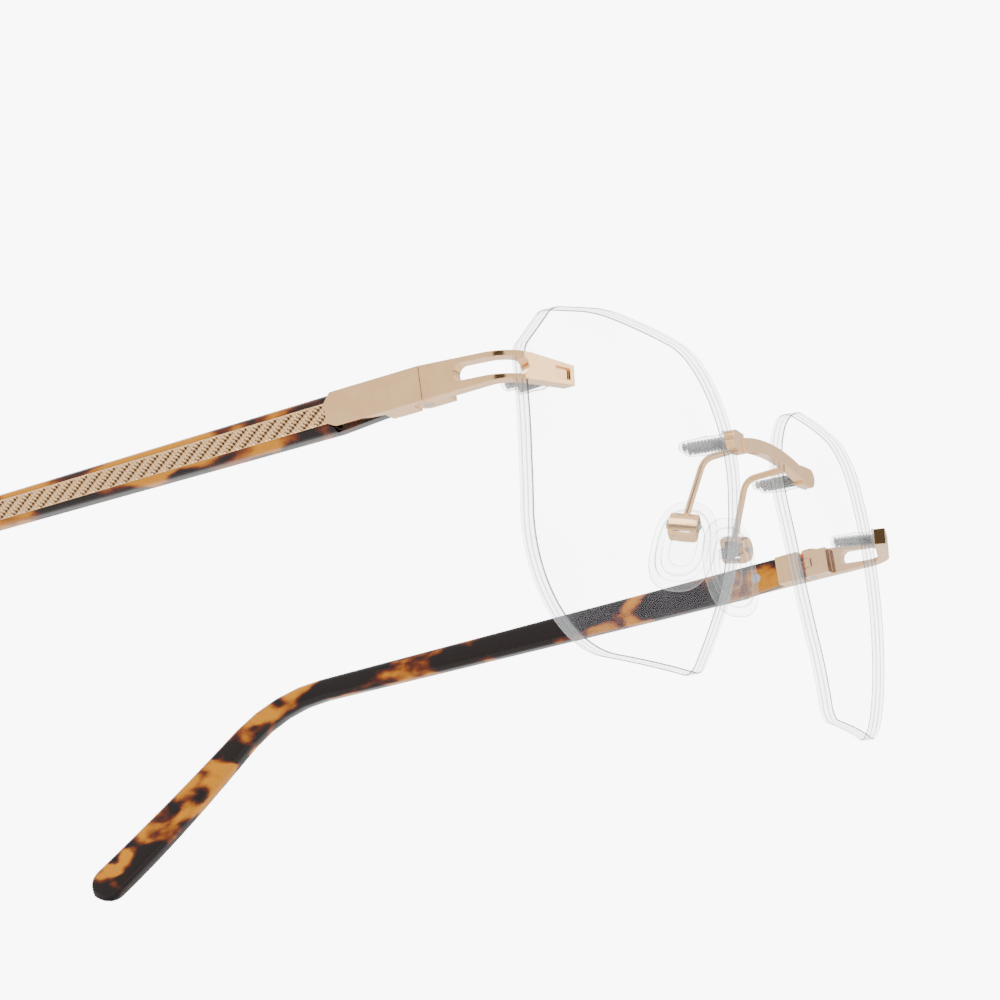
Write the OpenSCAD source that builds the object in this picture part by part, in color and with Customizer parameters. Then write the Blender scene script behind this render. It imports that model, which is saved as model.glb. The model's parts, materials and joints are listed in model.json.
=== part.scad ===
// Rimless eyeglasses: two drilled lenses carried by a bridge and two end
// pieces, with folding temples and rocking nose pads.
// Everything is drawn for the wearer's left side (+X) and mirrored for the
// right one.  It is laid out as worn, with the lenses upright, and the whole
// is then tipped so that it stands on the lenses and the temple ends.

/* [Lenses] */
// Width of one lens
lens_w = 55.8; // [46:0.2:70]
// Height of one lens
lens_h = 47.6; // [38:0.2:60]
// Distance between the lenses
lens_gap = 17; // [14:0.5:24]
// Thickness of a lens
lens_t = 2; // [1.6:0.1:3]
// Radius of the front surface of a lens
lens_base_r = 130; // [100:5:220]
// Angle by which each lens is wrapped back towards the temple
lens_wrap = 6.4; // [2:0.2:10]

/* [Rimless mounts] */
// Height of the drilled holes below the top of the lens
mount_drop = 12.8; // [9:0.2:16]
// Middle of the nasal pair of holes, in from the edge of the lens
bridge_inset = 4.6; // [4:0.1:8]
// Middle of the temporal pair of holes, in from the edge of the lens
end_inset = 4.9; // [4:0.1:8]
// Distance between the two holes of a pair
hole_pitch = 2.5; // [2.4:0.1:3.4]
// Radius of a drilled hole
hole_r = 1; // [0.8:0.05:1.2]
// Radius of a mounting pin
pin_r = 0.6; // [0.4:0.05:0.65]
// Length of a plug behind the lens
plug_tail = 4.6; // [3:0.2:6]
// Thickness of the plug's strip in front of the lens
plug_strip_t = 0.5; // [0.4:0.05:0.8]
// Clearance between pin, plug and hole
plug_gap = 0.02; // [0.01:0.01:0.05]

/* [Bridge] */
// Height of the bridge bar
bar_h = 2; // [1.4:0.1:3]
// Depth of the bridge bar, front to back
bar_d = 1.4; // [1.2:0.1:2.4]
// Rise of the arch above its two ends
arch_rise = 1.4; // [1:0.2:4]
// Height of the tab at each end of the bridge
tab_h = 2.9; // [2.6:0.1:4]
// Length of the tab at each end of the bridge
tab_w = 4.6; // [4.4:0.1:8]

/* [End pieces] */
// Thickness of the end piece
end_t = 1.9; // [1.4:0.1:2.4]
// Distance of its outer face outside the edge of the lens
end_reach = 5; // [4:0.2:8]
// Distance from the lens holes back to the joint with the temple
end_depth = 13.4; // [11:0.2:20]
// Outer radius of the bend round the edge of the lens
end_bend_r = 5; // [3.5:0.1:6]
// Height at the bend
end_h = 3.6; // [3.2:0.1:4.4]
// Height of the tip in front of the lens
tip_h = 2.6; // [2.4:0.1:3.4]
// Length of the tip past the middle of the holes
tip_len = 2.4; // [2.4:0.1:4]
// Height of the window in the end piece
slot_h = 2.3; // [1.4:0.1:2.4]
// Distance from the window back to the joint
slot_back = 4.9; // [4.4:0.1:6]

/* [Hinges] */
// Radius of the hinge knuckles
knuckle_r = 1.4; // [1.2:0.05:1.5]
// Radius of the hinge screw
hinge_pin_r = 0.6; // [0.4:0.05:0.7]
// Radius of the hinge screw's head
hinge_head_r = 0.95; // [0.8:0.05:1.1]
// Running clearance on the screw
hinge_gap = 0.05; // [0.02:0.01:0.08]
// Gap between the faces of the hinge
face_gap = 0.08; // [0.05:0.01:0.15]
// Distance of the hinge axis inside the outer face
hinge_in = 2.4; // [2:0.1:3]

/* [Temples] */
// Angle of the temples down from square to the lenses
temple_drop = 5.1; // [0:0.5:12]
// Angle of the temples out from square to the lenses
temple_splay = 0.9; // [0:0.1:4]
// Height of the metal plate
plate_h = 4.7; // [4.4:0.1:6]
// Thickness of the metal plate
plate_t = 1.3; // [1:0.1:1.6]
// Length of the metal plate
plate_len = 12.9; // [11:0.1:20]
// Length of the hinge block on the back of the plate
block_len = 4.5; // [4:0.1:6]
// Length of the collar between hinge block and acetate
collar_len = 1; // [0.6:0.1:2]
// Length from the hinge to the start of the ear bend
straight_len = 98; // [80:1:120]
// Length from the start of the ear bend to the tip
ear_len = 59; // [40:1:65]
// Angle of the ear bend
ear_angle = 35.5; // [20:0.5:50]
// Radius of the ear bend
ear_bend_r = 32; // [25:1:50]
// Inward curve of the temple tip
ear_inset = 7; // [0:0.5:12]
// Thickness of the acetate
acetate_t = 3.4; // [3:0.1:4.5]
// Height of the acetate behind the metal plate
acetate_h = 5.3; // [5:0.1:8]
// Height of the acetate at the ear bend
waist_h = 3.9; // [3.4:0.1:6]
// Height of the acetate at the tip
paddle_h = 6.4; // [5:0.1:9]

/* [Inlay and core] */
// Height of the metal inlay
inlay_h = 2.8; // [1.6:0.1:3.2]
// Thickness of the metal inlay
inlay_t = 0.8; // [0.5:0.1:1]
// Distance from the end of the inlay to the ear bend
inlay_short = 4; // [2:1:40]
// Clearance round the inlay
inlay_gap = 0.05; // [0.02:0.01:0.1]
// Height of the core wire
core_h = 1.8; // [1.4:0.1:2.2]
// Thickness of the core wire
core_t = 0.9; // [0.6:0.1:1.2]
// Length of the core wire past the start of the ear bend
core_tail = 30; // [10:1:38]

/* [Nose pads] */
// Height of a nose pad
pad_h = 15.2; // [12:0.2:17]
// Width of a nose pad
pad_w = 9.4; // [6:0.2:10]
// Thickness of a nose pad
pad_t = 1.4; // [1.2:0.1:1.8]
// Radius to which a pad is hollowed
pad_curve_r = 24; // [20:1:40]
// Angle of the pads as seen from the front
pad_frontal = 21; // [10:1:30]
// Angle of the pads as seen from above
pad_splay = 18; // [8:1:35]
// Angle of the pads as seen from the side
pad_lean = 12; // [0:1:20]
// Distance of the pads behind the bridge
pad_back = 10.6; // [8:0.2:14]
// Distance of the pads below the bridge
pad_down = 13.2; // [9:0.2:16]
// Distance of each pad from the middle
pad_out = 8.1; // [7:0.1:11]
// Radius of a pad arm
arm_r = 0.5; // [0.4:0.05:0.7]
// Length of the pad box along its screw
box_w = 4.2; // [3.6:0.1:5]
// Height of the pad box
box_h = 3.8; // [3.4:0.1:4.2]
// Radius of the pad screw
pad_pin_r = 0.4; // [0.3:0.05:0.4]

/* [Hidden] */

$fn = 48;
LEFT = 1;
RIGHT = -1;
FAR = 400;               // larger than the object, for cutting blocks
SKIN = 0.01;             // how far cutters pass through a face

gold = [0.86, 0.70, 0.56];
clear = [0.92, 0.95, 0.97, 0.35];
steel = [0.55, 0.56, 0.58];
tortoise = [0.45, 0.22, 0.06];

// ---- Lens outline: corners as shares of the half width and half height,
// ---- each with the radius that rounds it
lens_corners = [
    [0.985, -0.02, 60], [0.962, 0.60, 4], [0.71, 0.895, 5], [0.27, 0.995, 40],
    [-1.155, 0.99, 14.5], [-0.86, -0.29, 45], [-0.43, -1.0, 4.5], [0.985, -1.0, 17]];
corner_steps = 9;

// One corner of a rounded polygon: its arc between the two tangent points
function unit(v) = v / norm(v);
function corner_arc(a, p, b, r) =
    let (u = unit(a - p), w = unit(b - p), half = acos(u * w) / 2,
         mid = p + unit(u + w) * r / sin(half),
         from = p + u * r / tan(half) - mid, turn = 180 - 2 * half,
         way = sign(u[0] * w[1] - u[1] * w[0]))
    [for (i = [0:corner_steps]) let (t = -way * turn * i / corner_steps)
        mid + [from[0] * cos(t) - from[1] * sin(t), from[0] * sin(t) + from[1] * cos(t)]];
function xy(p) = [p[0], p[1]];
function rounded(pts) = [for (i = [0:len(pts) - 1])
    each corner_arc(xy(pts[(i + len(pts) - 1) % len(pts)]), xy(pts[i]),
                    xy(pts[(i + 1) % len(pts)]), pts[i][2])];
lens_outline = rounded([for (c = lens_corners) [c[0] * lens_w / 2, c[1] * lens_h / 2, c[2]]]);

// ---- Where things are on the lens: u runs along it, away from the nose,
// ---- and v upwards from its middle
function sag(u, v) = lens_base_r - sqrt(lens_base_r * lens_base_r - u * u - v * v);
lens_x = lens_gap / 2 + lens_w / 2 * cos(lens_wrap)
    + (sag(lens_w / 2, 0) + lens_t) * sin(lens_wrap);
function on_lens(u, v) = let (y = sag(u, v))
    [lens_x + u * cos(lens_wrap) - y * sin(lens_wrap), u * sin(lens_wrap) + y * cos(lens_wrap), v];
function lens_turn(u) = lens_wrap + asin(u / lens_base_r);

mount_z = lens_h / 2 - mount_drop;
bridge_u = bridge_inset - lens_w / 2;
end_u = lens_w / 2 - end_inset;
bridge_at = on_lens(bridge_u, mount_z);
end_at = on_lens(end_u, mount_z);
bridge_turn = lens_turn(bridge_u);
end_turn = lens_turn(end_u);
strip_rim = 0.2;
strip_h = 2 * (hole_r + strip_rim);
strip_w = hole_pitch + strip_h;
// The strip is flat and the lens slopes behind it, by the height above its middle
face_clear = 0.03;
strip_gap = strip_h / 2 * mount_z / lens_base_r + face_clear;

// ---- Bridge
tab_back = -plug_strip_t;
bar_inset = 0.1;         // of the bar's back in front of the tab's
bar_overlap = 0.8;       // of the bar's end with the tab
bar_drop = 0.3;          // of the bar's ends below the holes
bar_back = bridge_at[1] - plug_strip_t - bar_inset;
arch_half = bridge_at[0] - tab_w / 2 + bar_overlap;
arch_z = bridge_at[2] + arch_rise - bar_drop;
arch_r = (arch_half * arch_half + arch_rise * arch_rise) / (2 * arch_rise);
arch_angle = asin(arch_half / arch_r);

// ---- End piece: a straight side, a bend and a tip along the lens
end_x = on_lens(lens_w / 2, 0)[0] + end_reach;
joint_y = end_at[1] + end_depth;
tip_front = plug_strip_t + end_t;
side_local = (end_x - end_at[0] - tip_front * sin(end_turn)) / cos(end_turn);
side_y = end_at[1] + side_local * sin(end_turn) - tip_front * cos(end_turn);
bend_turn = 90 - end_turn;
bend_run = end_bend_r * tan(bend_turn / 2);
bend_y = side_y + bend_run;
tip_lift = 0.2;          // of the tip's middle above the holes
end_top = mount_z + tip_h / 2 + tip_lift;
end_low = end_top - end_h;
tip_fall = 0.4;          // of the tip's top edge below the bend's
tip_low = end_top - tip_fall - tip_h;
tip_x = end_at[0] - tip_len * cos(end_turn);
slot_rim = 0.75;         // metal left above the window
slot_z = end_top - slot_rim - slot_h / 2;

// ---- Hinge, in the frame of the temple: s back, w outwards, h up
joint_s = -0.2;
hinge_at = [end_x - hinge_in, joint_y - joint_s, end_top - plate_h / 2];
knuckle_h = (plate_h - 2 * face_gap) / 3;
relief_r = knuckle_r + 1.5 * face_gap;
knuckle_low = -plate_h / 2;
knuckle_top = plate_h / 2;
block_back = 3.1;        // length of the front half's block
block_low = 0.4;         // by which its top is below the knuckle's
middle_low = knuckle_low + knuckle_h + face_gap;
middle_high = middle_low + knuckle_h;
block_front = knuckle_r + 4 * face_gap;
head_t = 0.5;

// ---- Temple
collar_s = block_len + 0.4;
acetate_s = collar_s + collar_len;
proud = 0.2;
collar_proud = 0.1;
acetate_out = hinge_in - proud;
acetate_in = acetate_out - acetate_t;
plate_in = hinge_in - plate_t;
acetate_top = plate_h / 2;
inlay_end = straight_len - inlay_short;
inlay_z = -0.25;         // its middle above the middle of the plate
inlay_sink = 0.05;       // of its face in the acetate
front_rise = 0.6;        // of the acetate's lower edge at its front end
clip = 0.4;              // of the plate's lower rear corner
screw_s = acetate_s + 4;
screw_z = -0.3;
screw_r = 0.5;
screw_head_r = 0.85;
screw_head_t = 0.6;
driver_w = 0.26;          // width of the slot in a screw head
core_w = (acetate_out - inlay_t + acetate_in) / 2 - 0.1;
corner_share = 0.45;     // limit of a rounding, as a share of the side
screw_end = hinge_in - 0.4;

// ---- Nose pads
pad_at = [pad_out, bar_back + pad_back, bridge_at[2] - pad_down];
box_up = 2.4;
box_off = 2.9;
box_d = 2.4;
box_wall = 0.4;
box_back_r = 2.5;        // of its rounded back
box_side_r = 2.6;        // of its rounded outline
cheek_t = 0.9;
eye_r = 0.7;
eye_t = 1.4;
eye_gap = 0.12;
box_bore_gap = 0.03;
pad_hinge_gap = 0.05;
pad_head_t = 0.4;
pad_head_r = pad_pin_r + 0.25;
arm_x = 7.8;
arm_back = 6.5;          // how far the arm runs back before it turns down
arm_top = 0.2;           // of the arm's corner below the holes
arm_corner = [arm_x, bar_back + arm_back, bridge_at[2] - arm_top];

// ---- Acetate: its middle line past the ear bend, and its cross-section,
// ---- a rectangle with round corners
section_r = 0.9;
thin_end = 0.45;         // thickness at the very tip, as a share
bend_rings = 12;
end_rings = 7;
bend_arc = ear_bend_r * ear_angle * PI / 180;
round_from = ear_len - paddle_h / 2;
ear_ts = concat([acetate_s - straight_len, plate_len - straight_len, 0],
    [for (i = [1:bend_rings]) round_from * i / bend_rings],
    [for (i = [1:end_rings]) ear_len - paddle_h / 2 * (1 - sin(90 * i / end_rings))]);
function ear_pitch(t) = min(ear_angle, max(0, t) / ear_bend_r * 180 / PI);
function ear_pt(t) = let (a = ear_pitch(t), rest = max(0, t - bend_arc))
    [straight_len + ear_bend_r * sin(a) + rest * cos(ear_angle) + min(0, t),
     -ear_inset * pow(max(0, t) / ear_len, 2),
     -ear_bend_r * (1 - cos(a)) - rest * sin(ear_angle)];
function blend(a, b, x) = a + (b - a) * x;
function smooth(x) = let (c = min(1, max(0, x))) c * c * (3 - 2 * c);
// Height of the acetate at a distance t past the start of the ear bend
function ear_h(t) = t < 0 ? blend(waist_h, acetate_h, -t / (straight_len - acetate_s))
    : blend(waist_h, paddle_h, smooth(t / round_from));
// The round end of the tip, as a share of the section
function end_share(t) = let (left = (ear_len - t) * 2 / paddle_h)
    left >= 1 ? 1 : sqrt(max(thin_end * thin_end / 8, 1 - pow(1 - left, 2)));
function corner_points(x, z, r, from) =
    [for (a = [from:22.5:from + 90]) [x + r * cos(a), z + r * sin(a)]];
function section(low, high, w_in, w_out) =
    let (r = min(section_r, (high - low) * corner_share, (w_out - w_in) * corner_share))
    concat(corner_points(w_out - r, high - r, r, 0), corner_points(w_in + r, high - r, r, 90),
           corner_points(w_in + r, low + r, r, 180), corner_points(w_out - r, low + r, r, 270));
function front_lift(t) = t > acetate_s - straight_len ? 0 : front_rise;
// The top edge of the acetate falls by a fifth of what it loses in height
function ring(t) =
    let (p = ear_pt(t), a = ear_pitch(t), h = ear_h(t), cut = h * (1 - end_share(t)) / 2,
         mid = (acetate_out + acetate_in) / 2,
         half_t = acetate_t / 2 * blend(thin_end, 1, end_share(t)),
         top = acetate_top - (acetate_h - h) / 5)
    [for (q = section(top - h + cut + front_lift(t), top - cut, mid - half_t, mid + half_t))
        [q[0] + p[1], p[0] + q[1] * sin(a), p[2] + q[1] * cos(a)]];

function turn_z(p, a) = [p[0] * cos(a) - p[1] * sin(a), p[0] * sin(a) + p[1] * cos(a), p[2]];
function turn_y(p, a) = [p[0] * cos(a) + p[2] * sin(a), p[1], -p[0] * sin(a) + p[2] * cos(a)];
function turn_x(p, a) = [p[0], p[1] * cos(a) - p[2] * sin(a), p[1] * sin(a) + p[2] * cos(a)];

// ---- How the whole stands: tipped until lenses and temple ends touch one plane
// The temple's rings near the tip, as worn
function worn(p) = hinge_at + turn_z(turn_x(p, -temple_drop), -temple_splay);
tip_pts = [for (t = ear_ts) if (t > ear_len / 2) each [for (p = ring(t)) worn(p)]];
// The lens touches with the lowest point of its front edge, at about this tilt
rough_tilt = 3;
function height(p, tilt) = p[1] * sin(tilt) + p[2] * cos(tilt);
function depth(p, tilt) = p[1] * cos(tilt) - p[2] * sin(tilt);
edge_pts = [for (p = lens_outline) on_lens(p[0], p[1])];
foot_height = min([for (p = edge_pts) height(p, rough_tilt)]);
foot = [for (p = edge_pts) if (height(p, rough_tilt) == foot_height) p][0];
stand_tilt = max([for (p = tip_pts) atan((foot[2] - p[2]) / (p[1] - foot[1]))]);
stand_z = -height(foot, stand_tilt);
front_pt = [0, bar_back - bar_d, arch_z + bar_h / 2];
stand_y = -(depth(front_pt, stand_tilt) + max([for (p = tip_pts) depth(p, stand_tilt)])) / 2;

module stand(side) {
    translate([0, stand_y, stand_z]) rotate([stand_tilt, 0, 0])
        mirror([side == LEFT ? 0 : 1, 0, 0]) children();
}
module temple_frame() {
    translate(hinge_at) rotate([0, 0, -temple_splay]) rotate([-temple_drop, 0, 0]) children();
}
module bridge_frame() {
    translate(bridge_at) rotate([0, 0, bridge_turn]) children();
}
module end_frame() {
    translate(end_at) rotate([0, 0, end_turn]) children();
}
module pad_frame() {
    translate(pad_at) rotate([0, 0, -pad_splay]) rotate([0, -pad_frontal, 0])
        rotate([pad_lean, 0, 0]) children();
}
module box_frame() {
    pad_frame() translate([box_off, 0, box_up]) children();
}
// A block given by its lowest and highest corners
module block(a, b) {
    translate(a) cube(b - a);
}
// A round bar along +Y
module bar_y(r, from, to) {
    translate([0, from, 0]) rotate([-90, 0, 0]) cylinder(r = r, h = to - from);
}
module at_holes() {
    for (side = [-1, 1]) translate([side * hole_pitch / 2, 0, 0]) children();
}

// ---- Lenses
module lens_blank() {
    translate([lens_x, 0, 0]) rotate([0, 0, lens_wrap]) intersection() {
        rotate([90, 0, 0]) translate([0, 0, -lens_base_r / 2])
            linear_extrude(lens_base_r / 2 + SKIN) polygon(lens_outline);
        translate([0, lens_base_r, 0]) difference() {
            sphere(r = lens_base_r, $fn = 240);
            sphere(r = lens_base_r - lens_t, $fn = 240);
        }
    }
}
module lens(side) {
    color(clear) stand(side) difference() {
        lens_blank();
        bridge_frame() at_holes() bar_y(hole_r, -lens_t, 3 * lens_t);
        end_frame() at_holes() bar_y(hole_r, -lens_t, 3 * lens_t);
    }
}

// ---- Pins and the clear double plugs that hold them in the lens
pin_cap = 0.5;           // plastic over the end of a pin
pin_end = lens_t + plug_tail - pin_cap;
plug_lip = lens_t + 0.4; // clear of the back of the lens
plug_lip_t = 0.3;
plug_lip_r = hole_r + 0.15;
plug_taper = 0.15;
module pins() {
    at_holes() bar_y(pin_r, -plug_strip_t, pin_end);
}
module plug_shape() {
    difference() {
        union() {
            at_holes() rotate([-90, 0, 0]) rotate_extrude() polygon([
                [0, -plug_strip_t], [hole_r - plug_gap, -plug_strip_t],
                [hole_r - plug_gap, plug_lip], [plug_lip_r, plug_lip],
                [plug_lip_r, plug_lip + plug_lip_t], [hole_r, plug_lip + 3 * plug_lip_t],
                [hole_r - plug_taper, pin_end], [hole_r - 3 * plug_taper, lens_t + plug_tail],
                [0, lens_t + plug_tail]]);
            block([-strip_w / 2, -plug_strip_t, -strip_h / 2], [strip_w / 2, -strip_gap, strip_h / 2]);
        }
        at_holes() bar_y(pin_r + plug_gap, -FAR, pin_end);
    }
}
module bridge_pins(side) {
    color(steel) stand(side) bridge_frame() pins();
}
module end_pins(side) {
    color(steel) stand(side) end_frame() pins();
}
module bridge_plug(side) {
    color(clear) stand(side) bridge_frame() plug_shape();
}
module end_plug(side) {
    color(clear) stand(side) end_frame() plug_shape();
}

// ---- Bridge: an arched bar with a tab on each end
module tab() {
    bridge_frame() intersection() {
        block([-tab_w / 2, tab_back - bar_d, -tab_h / 2], [tab_w / 2, tab_back, tab_h / 2]);
        union() {
            translate([tab_w / 2 - tab_h / 2, 0, 0]) bar_y(tab_h / 2, -FAR / 2, FAR / 2);
            block([-tab_w, -FAR / 2, -tab_h], [tab_w / 2 - tab_h / 2, FAR / 2, tab_h]);
        }
    }
}
module bridge() {
    color(gold) stand(LEFT) union() {
        translate([0, bar_back, arch_z - arch_r]) rotate([90, 0, 0])
            rotate([0, 0, 90 - arch_angle]) rotate_extrude(angle = 2 * arch_angle, $fn = 120)
                translate([arch_r - bar_h / 2, 0]) square([bar_h, bar_d]);
        tab();
        mirror([1, 0, 0]) tab();
    }
}

// ---- End piece
// Its outlines as seen from above, from the side and from the front
bend_at = [end_x - end_bend_r, bend_y];
tip_dir = [cos(end_turn), sin(end_turn)];
tip_out = [sin(end_turn), -cos(end_turn)];
tip_at = [end_at[0], end_at[1]] - tip_len * tip_dir;
function bend_arc_at(r, a) = bend_at + r * [cos(a), sin(a)];
bend_steps = 20;
strap_end = joint_y + end_t;
strap_outline = concat([tip_at + plug_strip_t * tip_out, tip_at + tip_front * tip_out],
    [for (i = [0:bend_steps]) bend_arc_at(end_bend_r, -bend_turn * (1 - i / bend_steps))],
    [[end_x, strap_end], [end_x - end_t, strap_end]],
    [for (i = [bend_steps:-1:0]) bend_arc_at(end_bend_r - end_t, -bend_turn * (1 - i / bend_steps))]);
module end_side_view() {
    polygon([[-FAR, end_top + end_h], [-FAR, end_low], [bend_y - bend_run, end_low],
        [joint_y, hinge_at[2] - plate_h / 2], [strap_end + end_t, hinge_at[2] - plate_h / 2],
        [strap_end + end_t, end_top + end_h]]);
}
module end_front_view() {
    polygon([[tip_x - end_t, end_top - tip_fall], [tip_x - end_t, tip_low], [tip_x, tip_low],
        [end_x - bend_run, end_low], [end_x + end_t, end_low - end_h],
        [end_x + end_t, end_top + end_h], [end_x - bend_run, end_top + SKIN],
        [tip_x, end_top - tip_fall]]);
}
module end_strap() {
    intersection() {
        translate([0, 0, end_low - end_h]) linear_extrude(end_top - end_low + end_h)
            polygon(strap_outline);
        rotate([90, 0, 90]) linear_extrude(FAR) end_side_view();
        translate([0, FAR / 2, 0]) rotate([90, 0, 0]) linear_extrude(FAR) end_front_view();
    }
}
slot_short = 16;         // angle by which the window ends short of the bend's end
slot_turn = bend_turn - slot_short;
slot_end = joint_y - slot_back - slot_h / 2;
module end_window() {
    translate([0, 0, slot_z - slot_h / 2]) linear_extrude(slot_h) polygon([
        bend_at, bend_arc_at(2 * end_bend_r, -slot_turn), bend_at + [2 * end_bend_r, -end_bend_r],
        [end_x + end_bend_r, slot_end], [bend_at[0], slot_end]]);
    translate([end_x, slot_end, slot_z]) rotate([0, -90, 0])
        cylinder(r = slot_h / 2, h = 3 * end_t, center = true);
    translate([bend_at[0], bend_at[1], slot_z]) rotate([0, 90, -slot_turn])
        translate([0, 0, end_bend_r - 1.5 * end_t]) cylinder(r = slot_h / 2, h = 3 * end_t);
}
// A sunk panel with a raised pyramid in it, near the tip
jewel_w = 2.6;
jewel_h = 1.5;
jewel_t = 0.35;
jewel_rim = 0.8;
jewel_edge = 0.1;
module jewel_side(width) {
    polygon([[jewel_edge - width / 2, jewel_t + SKIN], [0, jewel_edge],
        [width / 2 - jewel_edge, jewel_t + SKIN]]);
}
module jewel_recess() {
    end_frame() translate([jewel_rim + jewel_w / 2 - tip_len, -tip_front, tip_low + tip_h / 2 - mount_z])
        difference() {
            block([-jewel_w / 2, -jewel_t, -jewel_h / 2], [jewel_w / 2, jewel_t, jewel_h / 2]);
            intersection() {
                linear_extrude(jewel_h, center = true) jewel_side(jewel_w);
                rotate([0, 90, 0]) linear_extrude(jewel_w, center = true) jewel_side(jewel_h);
            }
        }
}
module knuckle(from, to) {
    translate([0, 0, from]) cylinder(r = knuckle_r, h = to - from);
}
module end_piece(side) {
    color(gold) stand(side) difference() {
        union() {
            difference() {
                end_strap();
                temple_frame() block([-FAR / 8, joint_s - face_gap, -FAR / 8], [FAR / 8, FAR / 8, FAR / 8]);
            }
            temple_frame() {
                block([-knuckle_r, joint_s - block_back, knuckle_low],
                    [hinge_in - end_t / 2, joint_s - 2 * face_gap, knuckle_top - block_low]);
                knuckle(knuckle_low, knuckle_top);
            }
        }
        end_window();
        jewel_recess();
        temple_frame() {
            translate([0, 0, middle_low - face_gap])
                cylinder(r = relief_r, h = knuckle_h + 2 * face_gap);
            translate([0, 0, -plate_h]) cylinder(r = hinge_pin_r + hinge_gap, h = 2 * plate_h);
            translate([0, 0, knuckle_top - head_t])
                cylinder(r = hinge_head_r + hinge_gap, h = plate_h);
        }
    }
}
module hinge_screw(side) {
    color(steel) stand(side) temple_frame() difference() {
        union() {
            translate([0, 0, knuckle_low]) cylinder(r = hinge_pin_r, h = plate_h);
            translate([0, 0, knuckle_top - head_t]) cylinder(r = hinge_head_r, h = head_t);
        }
        block([-knuckle_r, -driver_w / 2, knuckle_top - head_t / 2], [knuckle_r, driver_w / 2, plate_h]);
    }
}

// ---- Temple
module temple_plate(side) {
    corner = (plate_h - inlay_h) / 2;
    color(gold) stand(side) temple_frame() difference() {
        union() {
            rotate([0, 90, 0]) translate([0, 0, plate_in]) linear_extrude(plate_t) polygon([
                [-plate_h / 2, joint_s], [-plate_h / 2, plate_len],
                [-inlay_z - inlay_h / 2, plate_len + corner], [-inlay_z + inlay_h / 2, plate_len + corner],
                [plate_h / 2, plate_len - clip], [plate_h / 2, joint_s]]);
            block([-knuckle_r, block_front, -plate_h / 2], [hinge_in - plate_t / 2, collar_s, plate_h / 2]);
            knuckle(middle_low, middle_high);
            block([0, 0, middle_low], [hinge_in - plate_t / 2, block_front + SKIN, middle_high]);
        }
        translate([0, 0, -plate_h]) cylinder(r = relief_r, h = plate_h + middle_low);
        translate([0, 0, middle_high]) cylinder(r = relief_r, h = plate_h);
        translate([0, 0, -plate_h]) cylinder(r = hinge_pin_r + hinge_gap, h = 2 * plate_h);
        translate([0, screw_s, screw_z]) rotate([0, 90, 0])
            cylinder(r = screw_r + plug_gap, h = screw_end);
    }
}
module temple_collar(side) {
    color(gold) stand(side) temple_frame() difference() {
        block([acetate_in - collar_proud, collar_s, -plate_h / 2], [plate_in, acetate_s, acetate_top]);
        translate([core_w, 0, 0]) block([-core_t / 2, 0, screw_z - core_h / 2],
            [core_t / 2, FAR / 4, screw_z + core_h / 2]);
    }
}

module skin(rings) {
    n = len(rings[0]);
    m = len(rings);
    polyhedron(
        points = [for (r = rings) each r],
        faces = concat([[for (i = [0:n - 1]) i]],
            [for (j = [0:m - 2]) for (i = [0:n - 1]) let (k = (i + 1) % n)
                each [[j * n + i, (j + 1) * n + i, j * n + k],
                    [j * n + k, (j + 1) * n + i, (j + 1) * n + k]]],
            [[for (i = [n - 1:-1:0]) (m - 1) * n + i]]));
}
module temple_acetate(side) {
    color(tortoise) stand(side) temple_frame() difference() {
        skin([for (t = ear_ts) ring(t)]);
        block([plate_in, 0, -acetate_h], [FAR / 8, plate_len, acetate_h]);
        plate_tongue(inlay_gap);
        inlay_space(inlay_gap);
        translate([0, screw_s, screw_z]) rotate([0, 90, 0])
            cylinder(r = screw_r + plug_gap, h = FAR / 8, center = true);
        translate([acetate_in + screw_head_t, screw_s, screw_z]) rotate([0, -90, 0])
            cylinder(r = screw_head_r + plug_gap, h = FAR / 8);
    }
}
// The clipped end of the plate, and the inlay's groove
module plate_tongue(gap) {
    corner = (plate_h - inlay_h) / 2;
    rotate([0, 90, 0]) translate([0, 0, plate_in]) linear_extrude(FAR / 8) polygon([
        [-plate_h / 2 - gap, plate_len - SKIN], [-plate_h / 2 - gap, plate_len + gap],
        [-inlay_z - inlay_h / 2 - gap, plate_len + corner + gap],
        [-inlay_z + inlay_h / 2 + gap, plate_len + corner + gap],
        [plate_h / 2 + gap, plate_len - SKIN]]);
}
module inlay_space(gap) {
    y0 = plate_len + (plate_h - inlay_h) / 2;
    block([acetate_out - inlay_t - gap, y0, inlay_z - inlay_h / 2 - gap],
        [FAR / 8, inlay_end - inlay_h / 2, inlay_z + inlay_h / 2 + gap]);
    translate([acetate_out - inlay_t - gap, inlay_end - inlay_h / 2, inlay_z]) rotate([0, 90, 0])
        cylinder(r = inlay_h / 2 + gap, h = FAR / 8);
}
module temple_inlay(side) {
    color(gold) stand(side) temple_frame() intersection() {
        inlay_space(0);
        block([0, 0, -inlay_h], [acetate_out - inlay_sink, straight_len, inlay_h]);
    }
}
module temple_core(side) {
    color(steel) stand(side) temple_frame() difference() {
        skin([for (t = concat([collar_s - straight_len, 0], [for (i = [1:8]) core_tail * i / 8]))
            let (p = ear_pt(t), a = ear_pitch(t))
            [for (q = [[1, 1], [-1, 1], [-1, -1], [1, -1]]) let (h = screw_z + q[1] * core_h / 2)
                [core_w + q[0] * core_t / 2 + p[1], p[0] + h * sin(a), p[2] + h * cos(a)]]]);
        translate([0, screw_s, screw_z]) rotate([0, 90, 0])
            cylinder(r = screw_r + plug_gap, h = FAR / 8, center = true);
    }
}
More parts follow.
